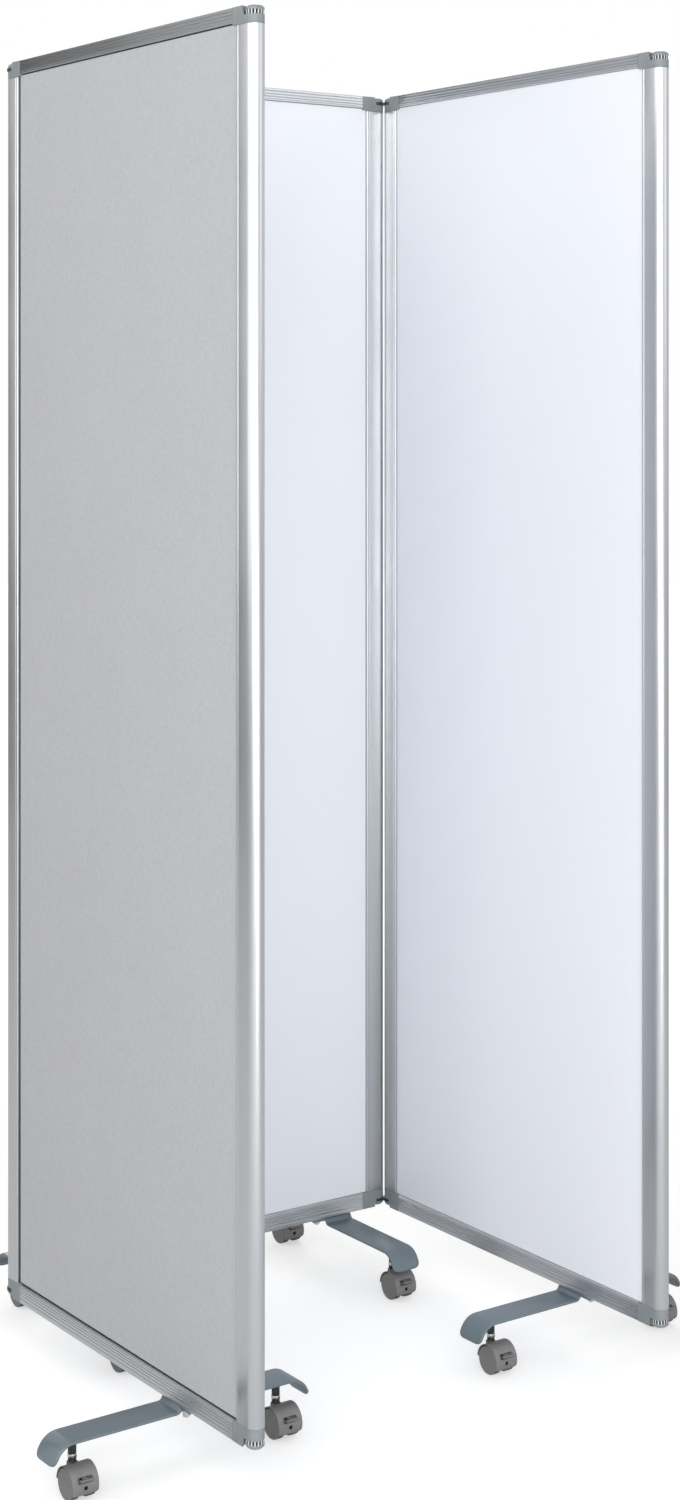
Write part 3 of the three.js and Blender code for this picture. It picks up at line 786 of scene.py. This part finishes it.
# Section of each foot, and which side of its bar the ear is on
FEET = {
    "left_wing": ("left_wing", 1),
    "middle_left": ("middle", -1),
    "middle_right": ("middle", 1),
    "right_wing": ("right_wing", -1),
}
BAR_THICKNESS = 3.5 * MM
BAR_HALF = 22.5 * MM
EAR_REACH = 22 * MM
EAR_HALF = 9.5 * MM
ARM_TOP = FOOT_HIGH + GAP - 8 * MM
SADDLE_HALF = 5.6 * MM
SADDLE_SLOPE = 4.8 * MM
ARM_STOPS = (60 * MM, 110 * MM)
BEND_START = 151 * MM
BEND_RADIUS = 26 * MM
BEND_ANGLE = 62
TOE_CORNER = 9 * MM
COLLAR_TOP = 37.2 * MM


def foot_place(foot):
    """Where a foot crosses under its section, with the bar along its local X."""
    centre = (joint_at(f"{foot}_front_swivel") + joint_at(f"{foot}_back_swivel")) / 2
    return moved(centre.x, centre.y, 0) @ rotated(TURNS[FEET[foot][0]] + 90)


def bar_curve():
    """Side view of one half of the bar's top, from the middle to the toe."""
    saddle = [(0, FOOT_HIGH), (SADDLE_HALF, FOOT_HIGH), (SADDLE_HALF + SADDLE_SLOPE, ARM_TOP)]
    arm = [(x, ARM_TOP) for x in ARM_STOPS]
    curve = soften(saddle + arm, 2.6 * MM, closed=False, steps=5)
    bend = arc(BEND_START, ARM_TOP - BEND_RADIUS, BEND_RADIUS, 90, 90 - BEND_ANGLE, 14)
    curve += [Vector(p) for p in bend]
    lean = radians(BEND_ANGLE)
    toe = curve[-1]
    along = Vector((cos(lean), -sin(lean))) * (FOOT_REACH - toe.x) / cos(lean)
    return curve + [toe + along * k / 10 for k in range(1, 11)]


def add_bar(bm, edge):
    """Bent flat bar with rounded edges and rounded toe corners."""
    half = bar_curve()
    curve = [Vector((-p.x, p.y)) for p in reversed(half[1:])] + half
    lengths = [0.0]
    for a, b in zip(curve, curve[1:]):
        lengths.append(lengths[-1] + (b - a).length)
    rings = []
    for k, p in enumerate(curve):
        along = (curve[min(k + 1, len(curve) - 1)] - curve[max(k - 1, 0)]).normalized()
        up = Vector((-along.y, along.x))
        left = min(lengths[k], lengths[-1] - lengths[k])
        short = max(0, TOE_CORNER - left)
        side = BAR_HALF - TOE_CORNER + sqrt(TOE_CORNER ** 2 - short ** 2) - edge
        under = BAR_THICKNESS - edge
        corners = ((-side, edge, 180), (side, edge, 90), (side, under, 0), (-side, under, -90))
        ring = []
        for y, depth, start in corners:
            for across, height in arc(y, -depth, edge, start, start - 90, 3):
                q = p + up * height
                ring.append((q.x, across, q.y))
        rings.append(ring)
    add_loft(bm, rings)


class SCREEN_OT_feet(Operator):
    """Bend the steel bars and weld an ear plate to one side of each"""

    bl_idname = "screen.build_feet"
    bl_label = "Feet"

    def execute(self, context):
        sizes = context.scene.screen_sizes
        paint = finish(foot_paint)
        edge = sizes.edge_round
        # The ear stops just short of the saddle's top, so that their faces don't fight.
        low, high = FOOT_HIGH - BAR_THICKNESS, FOOT_HIGH - 0.02 * MM
        root, reach = BAR_HALF - 1 * MM, BAR_HALF + EAR_REACH
        for foot, (section, ear_side) in FEET.items():
            bm = bmesh.new()
            add_bar(bm, 1.1 * MM)
            ear = [(-EAR_HALF, root), (EAR_HALF, root), (EAR_HALF, reach), (-EAR_HALF, reach)]
            ear = anticlockwise([(x, y * ear_side) for x, y in ear])
            add_prism(bm, soften(ear, 1.5 * MM, steps=4), low, high, round_low=edge, round_high=edge)
            mesh = finish_mesh(bm, f"{foot}_bar", crease=35)
            put(f"{foot}_bar", mesh, section, foot_place(foot), paint, [f"{foot}_foot"])
        return {"FINISHED"}


def hexagon(corner, start=0):
    """Six-sided outline with a first corner at an angle in degrees."""
    turns = [radians(a) for a in range(start, start + 360, 60)]
    return [(corner * cos(a), corner * sin(a)) for a in turns]


class SCREEN_OT_fixings(Operator):
    """Add the bolts, stem sleeves and lock nuts of the feet"""

    bl_idname = "screen.build_fixings"
    bl_label = "Fixings"

    def execute(self, context):
        sizes = context.scene.screen_sizes
        zinc = finish(bright_zinc)
        black = finish(black_sleeve)
        for foot, (section, ear_side) in FEET.items():
            pieces = {"bolt": bmesh.new(), "stem_sleeves": bmesh.new(), "stem_nuts": bmesh.new()}
            self.add_bolt(pieces["bolt"], sizes, moved(5 * MM, ear_side * (BAR_HALF + 8 * MM), 0))
            for end in (-1, 1):
                stem = moved(end * STEM_REACH, 0, 0)
                self.add_stem(pieces["stem_sleeves"], pieces["stem_nuts"], sizes, stem)
            for part, bm in pieces.items():
                name = f"{foot}_{part}"
                material = black if part == "stem_sleeves" else zinc
                put(name, finish_mesh(bm, name), section, foot_place(foot), material)
        return {"FINISHED"}

    def add_bolt(self, bm, sizes, place):
        """Washer, head and the end of a shank, downwards from the ear."""
        under = FOOT_HIGH - BAR_THICKNESS
        washer, head, shank = under - 1.2 * MM, under - 6.6 * MM, under - 8.2 * MM
        wide, thin, thick, neck = 5.6 * MM, 2.3 * MM, 2.6 * MM, head + 0.4 * MM
        add_turned(bm, [(0, washer), (wide, washer), (wide, under), (0, under)], 40, place, soft=0.4 * MM)
        outline = soften(hexagon(sizes.bolt_flats / sqrt(3)), 0.3 * MM)
        add_prism(bm, outline, head, under - 1.1 * MM, place, round_low=0.5 * MM, round_high=0.2 * MM)
        add_turned(bm, [(0, shank), (thin, shank), (thick, neck), (0, neck)], 32, place, soft=0.4 * MM)

    def add_stem(self, sleeves, nuts, sizes, place):
        """A sleeve above the lock nut, and a waisted one from the nut to the hood."""
        top, low = ARM_TOP - BAR_THICKNESS, COLLAR_TOP + GAP
        nut_low, nut_high = COLLAR_TOP + 5.0 * MM, COLLAR_TOP + 9.4 * MM
        radius, waist = sizes.sleeve_radius, (nut_low + low) / 2
        thin, narrow = radius - 0.4 * MM, radius - 0.7 * MM
        upper = [(0, nut_high), (thin, nut_high), (radius, nut_high + 1.2 * MM), (radius, top), (0, top)]
        lower = [(0, low), (radius, low), (radius, waist - 0.7 * MM), (narrow, waist - 0.3 * MM),
                 (narrow, waist + 0.3 * MM), (radius, waist + 0.7 * MM), (radius, nut_low), (0, nut_low)]
        add_turned(sleeves, upper, 36, place, soft=0.6 * MM)
        add_turned(sleeves, lower, 36, place, soft=0.4 * MM)
        outline, edge = soften(hexagon(sizes.nut_radius, 15), 0.6 * MM), 0.5 * MM
        add_prism(nuts, outline, nut_low, nut_high, place, round_low=edge, round_high=edge)


# Casters

CASTERS = [f"{foot}_{end}" for foot in FEET for end in ("front", "back")]
HOOD_RADIUS = 20.6 * MM
HOOD_INNER = 19.4 * MM
HOOD_REAR, HOOD_FRONT = -4, 207
HOOD_CORNER = 3.6 * MM
WEB_HALF = 5.2 * MM
SLOT_HALF = 9.5 * MM
SLOT_LOW, SLOT_HIGH = LEVER_PIVOT.z - 4.3 * MM, LEVER_PIVOT.z + 2.1 * MM
LOCK_HALF, LOCK_LOW, LOCK_HIGH = 2.2 * MM, -3.6 * MM, 1.0 * MM
LOCK_DEPTH = 6 * MM


def front_angle(height, radius=HOOD_RADIUS):
    """Angle round the axle, in degrees from the rear, of a height on the hood's front."""
    return 180 - degrees(asin(height / radius))


def add_hood_shell(bm):
    """Curved hood with its brake slot and lock hole, built as a grid of two skins."""
    slot = (front_angle(SLOT_HIGH), front_angle(SLOT_LOW))
    lock = (front_angle(LOCK_HIGH), front_angle(LOCK_LOW))
    turns = [HOOD_REAR + (slot[0] - HOOD_REAR) * k / 30 for k in range(31)]
    stops = [slot[0], slot[1], lock[0], lock[1], HOOD_FRONT - 10, HOOD_FRONT]
    for a, b in zip(stops, stops[1:]):
        steps = max(3, round((b - a) / 4))
        turns += [a + (b - a) * k / steps for k in range(1, steps + 1)]
    across = [-1, -0.9, -0.76, -SLOT_HALF / HOOD_HALF, -0.3, -LOCK_HALF / HOOD_HALF]
    across = [u * HOOD_HALF for u in across + [-u for u in reversed(across)]]

    def open_at(angle, x):
        in_slot = slot[0] < angle < slot[1] and abs(x) < SLOT_HALF
        in_lock = lock[0] < angle < lock[1] and abs(x) < LOCK_HALF
        return in_slot or in_lock

    def skin(radius):
        rows = []
        for angle in turns:
            left = radians(min(HOOD_FRONT - angle, angle - HOOD_REAR)) * HOOD_RADIUS
            narrow = HOOD_CORNER - sqrt(max(0, HOOD_CORNER ** 2 - max(0, HOOD_CORNER - left) ** 2))
            scale = (HOOD_HALF - narrow) / HOOD_HALF
            a = radians(angle)
            rows.append([bm.verts.new((x * scale, radius * cos(a), radius * sin(a))) for x in across])
        return rows

    outer, inner = skin(HOOD_RADIUS), skin(HOOD_INNER)
    walls = {}
    for i in range(len(turns) - 1):
        for j in range(len(across) - 1):
            if open_at((turns[i] + turns[i + 1]) / 2, (across[j] + across[j + 1]) / 2):
                continue
            loop = [(i, j), (i, j + 1), (i + 1, j + 1), (i + 1, j)]
            bm.faces.new([outer[a][b] for a, b in loop])
            bm.faces.new([inner[a][b] for a, b in reversed(loop)])
            for edge in zip(loop, loop[1:] + loop[:1]):
                key = tuple(sorted(edge))
                walls[key] = walls.get(key, 0) + 1
    for ((i, j), (k, l)), uses in walls.items():
        if uses == 1:
            bm.faces.new((outer[i][j], outer[k][l], inner[k][l], inner[i][j]))


def round_rims(bm, width, limit=50):
    """Round every edge that turns sharply."""
    bmesh.ops.recalc_face_normals(bm, faces=bm.faces)
    sharp = [e for e in bm.edges if len(e.link_faces) == 2 and e.calc_face_angle(0) > radians(limit)]
    bmesh.ops.bevel(bm, geom=sharp, offset=width, offset_type="OFFSET", segments=2, profile=0.6,
                    affect="EDGES", clamp_overlap=True)


def add_collar(bm, inner):
    """Round collar about the stem, its foot following the hood's curve."""
    radius, top = 6.6 * MM, COLLAR_TOP - WHEEL_RADIUS
    chamfer, least = 0.8 * MM, 4 * MM
    turns = [2 * pi * k / 40 for k in range(40)]
    rings = []
    for ring_radius, height in ((radius, None), (radius, top - chamfer), (radius - chamfer, top), (0, top)):
        ring = []
        for a in turns if ring_radius else [0]:
            x, y = ring_radius * cos(a), AXLE_BACK + ring_radius * sin(a)
            foot = min(sqrt(max(least ** 2, inner ** 2 - y ** 2)), top - 1.2 * MM)
            ring.append((x, y, foot if height is None else height))
        rings.append(ring)
    add_loft(bm, rings)


def caster_hood_mesh(plastic, dark):
    """Hood about its axle: rear towards +Y, brake towards -Y; the inside of its slot and lock hole is painted
    dark as shade.
    """
    bm = bmesh.new()
    add_hood_shell(bm)
    round_rims(bm, 0.45 * MM)
    middle = (HOOD_INNER + HOOD_RADIUS) / 2
    slot_back, lock_back = LEVER_PIVOT.y + 2.8 * MM, LOCK_DEPTH - HOOD_RADIUS
    slot_top, slot_low = LEVER_PIVOT.z + 2.4 * MM, LEVER_PIVOT.z - 5.2 * MM
    heights = (slot_top, slot_low, LOCK_HIGH, LOCK_LOW)
    slot_start, slot_end, lock_start, lock_end = [front_angle(height, middle) for height in heights]
    web = [
        *arc(0, 0, middle, HOOD_REAR + 2, slot_start, 40), (slot_back, slot_top), (slot_back, slot_low),
        *arc(0, 0, middle, slot_end, lock_start, 4), (lock_back, LOCK_HIGH), (lock_back, LOCK_LOW),
        *arc(0, 0, middle, lock_end, HOOD_FRONT - 2, 8), *arc(0, -2 * MM, 8 * MM, 215, 335, 12),
    ]
    # Web faces inside the slot and lock hole get the painted shade finish.
    for face in add_prism(bm, web, -WEB_HALF, WEB_HALF, ALONG_X):
        centre = face.calc_center_median()
        in_front = centre.y < -8 * MM and centre.z > -6 * MM
        if in_front and hypot(centre.y, centre.z) < middle - 0.3 * MM:
            face.material_index = 1
    add_collar(bm, middle)
    return finish_mesh(bm, "caster_hood", 35, [plastic, dark])


def caster_wheels_mesh(face, tread):
    """Two wheels on one axle along X, with a shallow dished face each."""
    inner, outer, radius = WEB_HALF + 0.4 * MM, WHEEL_HALF, WHEEL_RADIUS
    half = [
        (3.0 * MM, inner), (5.5 * MM, inner), (6.2 * MM, inner + 0.8 * MM),
        (radius - 2.5 * MM, inner + 0.8 * MM), (radius - 2.0 * MM, inner), (radius - 0.9 * MM, inner),
        (radius, inner + 0.9 * MM), (radius, outer - 1.7 * MM), (radius - 0.8 * MM, outer - 0.3 * MM),
        (radius - 2.0 * MM, outer), (radius - 2.8 * MM, outer - 0.5 * MM), (9 * MM, outer - 0.25 * MM),
        (0, outer - 0.1 * MM),
    ]
    profile = [(r, -x) for r, x in reversed(half)] + half
    bm = bmesh.new()
    for piece in add_turned(bm, profile, 72, rotated(90, "Y"), soft=0.5 * MM):
        centre = piece.calc_center_median()
        if hypot(centre.y, centre.z) > radius - 0.4 * MM:
            piece.material_index = 1
    return finish_mesh(bm, "caster_wheels", 30, [face, tread])


def brake_lever_mesh():
    """Brake lever about the axle: a ledge in front of the hood, and a tongue and pin at its pivot."""
    y, z = LEVER_PIVOT.y, LEVER_PIVOT.z
    half, width, edge = 1.0 * MM, 9 * MM, 0.5 * MM
    root, reach = -20.9 * MM, -26.8 * MM
    back, front = y - 2 * MM, root - 1 * MM
    tongue = [*arc(y, z, 2.2 * MM, -60, 60, 8), (back, z + half), (front, z + half), (front, z - half),
              (back, z - half)]
    ledge = [(root, z - half - 0.8 * MM), (root, z + half), (reach + 2 * MM, z + half + 0.3 * MM),
             (reach - 0.2 * MM, z + half + 1.3 * MM), (reach - 0.6 * MM, z + half + 0.5 * MM),
             (reach + 1.2 * MM, z - half)]
    pin_radius, pin_half = 1.3 * MM, 4.9 * MM
    pin = [(0, -pin_half), (pin_radius, -pin_half), (pin_radius, pin_half), (0, pin_half)]
    bm = bmesh.new()
    add_prism(bm, tongue, -3 * MM, 3 * MM, ALONG_X, round_low=0.3 * MM, round_high=0.3 * MM)
    add_prism(bm, soften(ledge, 0.35 * MM), -width, width, ALONG_X, round_low=edge, round_high=edge)
    add_turned(bm, pin, 24, moved(0, y, z) @ rotated(90, "Y"))
    return finish_mesh(bm, "brake_lever")


class SCREEN_OT_casters(Operator):
    """Hang a hooded pair of wheels with a brake lever under each end of every foot"""

    bl_idname = "screen.build_casters"
    bl_label = "Casters"

    def execute(self, context):
        plastic = finish(caster_plastic)
        face, tread = finish(wheel_plastic), finish(tread_plastic)
        # Mesh, body and material slot of each part
        parts = {
            "hood": (caster_hood_mesh(plastic, finish(painted_shade)), "caster", "hood"),
            "wheels": (caster_wheels_mesh(face, tread), "roller", "wheel"),
            "brake_lever": (brake_lever_mesh(), "brake", "lever"),
        }
        for caster in CASTERS:
            place = moved(*joint_at(f"{caster}_roll"))
            for part, (mesh, body, slot) in parts.items():
                node = f"{caster}_{part}"
                put(node + "_moulding", mesh, f"{caster}_{body}", place, plastic, [node])
        return {"FINISHED"}


# Stage

CAMERA_PLACE = (-1.8146, -2.7103, 1.2681)
CAMERA_TURN = -35.771
CAMERA_LENS = 58.08
CAMERA_SHIFT = (-0.0243, -0.2301)
FLOOR_RADIUS = 14

# Place, target, width, height and watts of each lamp
LAMPS = {
    "left_box": ((-2.2, 0.2, 2.5), (-0.5, -0.1, 1.2), 1.8, 1.8, 14),
    "front_box": ((-2.3, -3.1, 1.75), (0.1, 0, 0.8), 3.0, 2.8, 98),
    "right_box": ((1.9, -3.0, 2.2), (0, 0, 0.9), 1.4, 1.8, 8),
    "low_box": ((-0.45, -2.7, 0.5), (0, 0, 0.5), 0.8, 0.8, 10),
    "top_box": ((0.2, -0.6, 3.6), (0, 0, 0), 2.4, 2.4, 5),
    "back_box": ((1.6, 3.0, 2.2), (0, 0, 0.9), 2.0, 2.0, 34),
}


def hang_lamp(name, at, towards, width, height, watts):
    """Large soft lamp that the camera doesn't see."""
    data = bpy.data.lights.new(name, "AREA")
    data.shape = "RECTANGLE"
    data.size, data.size_y, data.energy = width, height, watts
    lamp = bpy.data.objects.new(name, data)
    lamp.location = at
    lamp.rotation_euler = (Vector(towards) - Vector(at)).to_track_quat("-Z", "Y").to_euler()
    lamp.visible_camera = False
    bpy.context.scene.collection.objects.link(lamp)


def stage_sheet(name, corners, material):
    """Flat sheet that belongs to the studio and not to the screen."""
    bm = bmesh.new()
    bm.faces.new([bm.verts.new(p) for p in corners])
    mesh = bpy.data.meshes.new(name)
    bm.to_mesh(mesh)
    bm.free()
    mesh.materials.append(material)
    sheet = bpy.data.objects.new(name, mesh)
    bpy.context.scene.collection.objects.link(sheet)
    return sheet


class SCREEN_OT_stage(Operator):
    """Lay the pale floor, hang the lamps and set the camera"""

    bl_idname = "screen.build_stage"
    bl_label = "Stage"

    def execute(self, context):
        scene = context.scene
        self.lay_floor()
        self.stand_card("dark_card", -2.1, (2.8, 6.5), (0.02, 4.6), 0.02, 0)
        self.stand_card("bright_card", -2.4, (-1.3, 1.8), (0.9, 3.2), 0.8, 1.0)
        self.set_world(scene)
        for name, settings in LAMPS.items():
            hang_lamp(name, *settings)
        data = bpy.data.cameras.new("front_left")
        data.lens, data.sensor_width = CAMERA_LENS, 36
        data.shift_x, data.shift_y = CAMERA_SHIFT
        camera = bpy.data.objects.new("front_left", data)
        camera.location = CAMERA_PLACE
        camera.rotation_euler = (radians(90), 0, radians(CAMERA_TURN))
        scene.collection.objects.link(camera)
        scene.camera = camera
        scene.view_settings.view_transform = "Standard"
        return {"FINISHED"}

    def lay_floor(self):
        """Floor that turns into the white backdrop with distance and keeps its shadows near the screen."""
        pale = Finish("pale_floor", (0.62, 0.62, 0.62), 0.9)
        pale.set(Emission_Color=(1, 1, 1, 1))
        distance = pale.node("ShaderNodeVectorMath", {0: pale.coordinates}, operation="LENGTH")
        white = pale.spread(distance.outputs["Value"], 1.3, 4.0, 0.5, 0.75)
        rays = pale.node("ShaderNodeLightPath").outputs
        seen = pale.math("MULTIPLY", white, rays["Is Camera Ray"])
        glow = pale.math("MULTIPLY_ADD", rays["Is Glossy Ray"], 0.12, seen)
        pale.tree.links.new(glow, pale.shader.inputs["Emission Strength"])
        turns = [2 * pi * k / 96 for k in range(96)]
        rim = [(FLOOR_RADIUS * cos(a), FLOOR_RADIUS * sin(a), 0) for a in turns]
        stage_sheet("floor", rim, pale.material)

    def stand_card(self, name, x, across, up, shade, glow):
        """Upright card at the left that only the shiny surfaces see."""
        paper = Finish(name, (shade, shade, shade), 1.0)
        paper.set(Emission_Color=(1, 1, 1, 1), Emission_Strength=glow)
        (near, far), (low, high) = across, up
        corners = [(x, near, low), (x, far, low), (x, far, high), (x, near, high)]
        card = stage_sheet(name, corners, paper.material)
        card.visible_camera = card.visible_diffuse = card.visible_shadow = False

    def set_world(self, scene):
        """White to the camera, and dimmer as a light and in reflections."""
        world = bpy.data.worlds.new("studio")
        scene.world = world
        world.use_nodes = True
        tree = world.node_tree
        background = tree.nodes["Background"]
        background.inputs["Color"].default_value = (1, 1, 1, 1)
        rays = add_node(tree, "ShaderNodeLightPath").outputs
        inputs = {"Value": rays["Is Glossy Ray"], "To Min": 0.52, "To Max": 0.74}
        unseen = add_node(tree, "ShaderNodeMapRange", inputs).outputs["Result"]
        inputs = {"Value": rays["Is Camera Ray"], "To Min": unseen, "To Max": 1.0}
        strength = add_node(tree, "ShaderNodeMapRange", inputs).outputs["Result"]
        tree.links.new(strength, background.inputs["Strength"])


# Panel and registration

BUILDERS = (
    SCREEN_OT_frames, SCREEN_OT_corner_caps, SCREEN_OT_links, SCREEN_OT_boards, SCREEN_OT_fabric_pads,
    SCREEN_OT_feet, SCREEN_OT_fixings, SCREEN_OT_casters, SCREEN_OT_stage,
)


class SCREEN_PT_build(Panel):
    """Lists the builders and the sizes and colours they use"""

    bl_idname = "SCREEN_PT_build"
    bl_label = "Ward Screen"
    bl_space_type = "VIEW_3D"
    bl_region_type = "UI"
    bl_category = "Ward Screen"

    def draw(self, context):
        for group in (context.scene.screen_sizes, context.scene.screen_finishes):
            box = self.layout.box()
            for key in group.__annotations__:
                box.prop(group, key)
        for builder in BUILDERS:
            self.layout.operator(builder.bl_idname)


CLASSES = (ScreenSizes, ScreenFinishes, *BUILDERS, SCREEN_PT_build)


def register():
    for cls in CLASSES:
        bpy.utils.register_class(cls)
    bpy.types.Scene.screen_sizes = PointerProperty(type=ScreenSizes)
    bpy.types.Scene.screen_finishes = PointerProperty(type=ScreenFinishes)


def unregister():
    del bpy.types.Scene.screen_finishes
    del bpy.types.Scene.screen_sizes
    for cls in reversed(CLASSES):
        bpy.utils.unregister_class(cls)


def main():
    register()
    for builder in BUILDERS:
        group, name = builder.bl_idname.split(".")
        getattr(getattr(bpy.ops, group), name)()
    bpy.context.view_layer.update()


if __name__ == "__main__":
    main()
